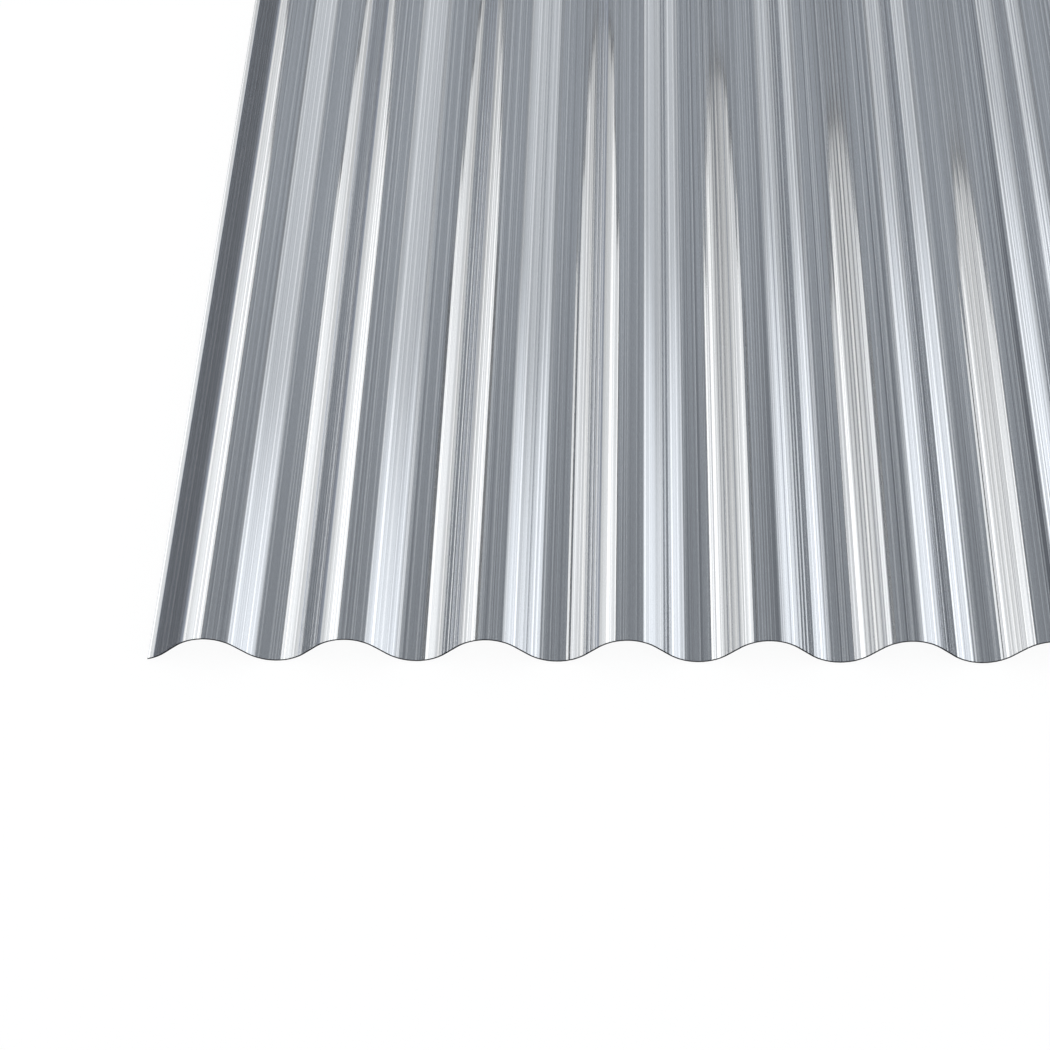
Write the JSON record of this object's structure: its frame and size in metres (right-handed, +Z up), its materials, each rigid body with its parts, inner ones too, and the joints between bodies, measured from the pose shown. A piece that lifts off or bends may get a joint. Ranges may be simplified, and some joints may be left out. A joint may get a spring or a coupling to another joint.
{
  "type": "corrugated polycarbonate sheet",
  "caption": "Clear corrugated polycarbonate roofing sheet with round crests and troughs running along its length.",
  "frame": {"origin": "under the middle of the sheet, at the level its troughs rest on", "axes": "+X across the waves, +Y along the waves from the front cut end to the back one, +Z up"},
  "size_m": [0.9, 2, 0.018],
  "materials": {
    "clear_polycarbonate": "gloss"
  },
  "bodies": {
    "root": {"corrugated_sheet": "clear_polycarbonate"}
  },
  "joints": []
}
